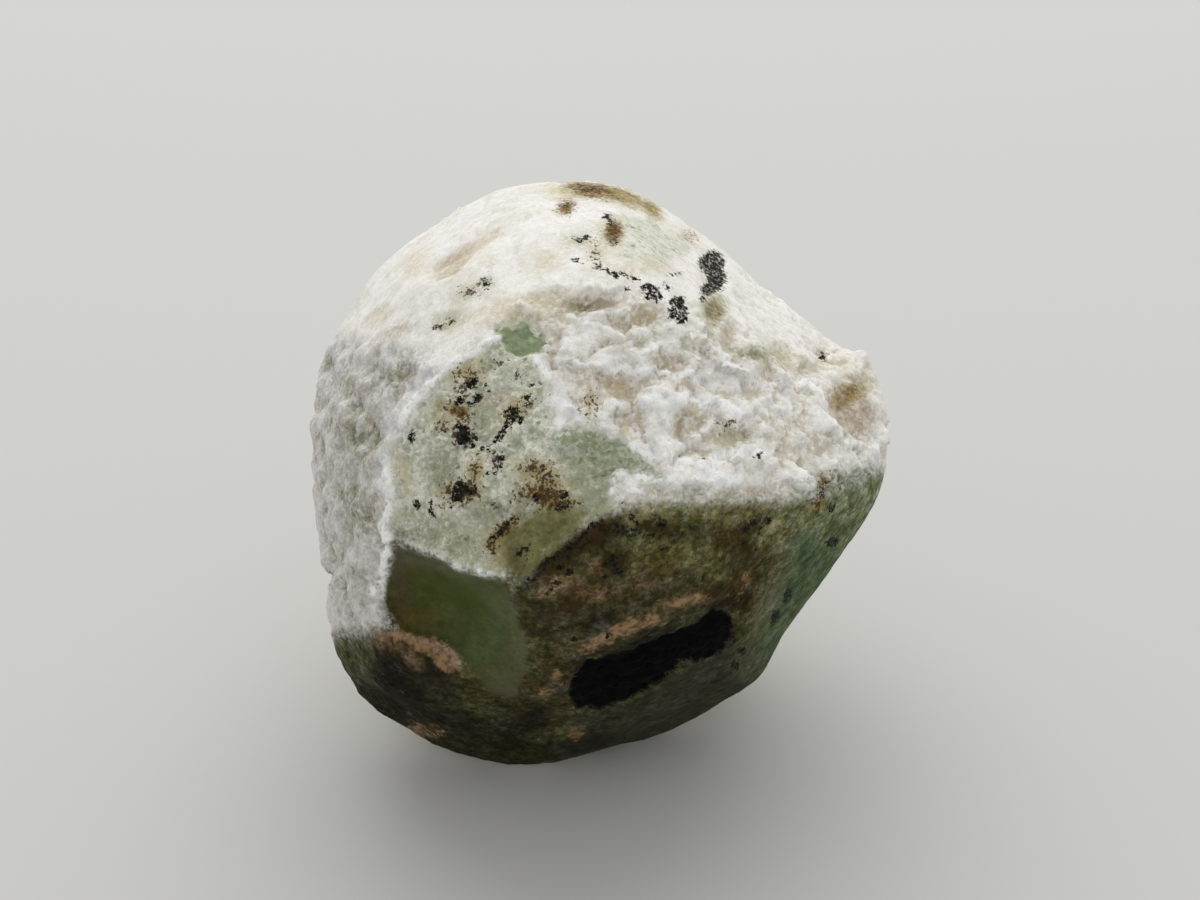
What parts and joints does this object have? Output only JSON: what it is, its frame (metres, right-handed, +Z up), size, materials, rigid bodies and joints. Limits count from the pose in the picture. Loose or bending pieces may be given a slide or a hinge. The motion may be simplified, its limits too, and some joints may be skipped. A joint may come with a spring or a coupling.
{
  "type": "rough datolite",
  "caption": "Rough datolite nodule: pale green glassy mineral under a white chalky pitted skin, with dark specks and iron stains. It rests on a small flat spot.",
  "frame": {"origin": "the middle of the stone's bounding box, on the surface it rests on", "axes": "+Z up, +X to the right and +Y away from the viewer as the picture shows the stone; +X is its widest direction and +Z its shortest"},
  "size_m": [0.036, 0.0354, 0.0345],
  "materials": {
    "datolite": "white chalky pitted skin, pale grey-green and waxy to glassy where it is broken, with black and brown mineral stains"
  },
  "bodies": {
    "root": {"datolite_nodule": "datolite"}
  },
  "joints": []
}
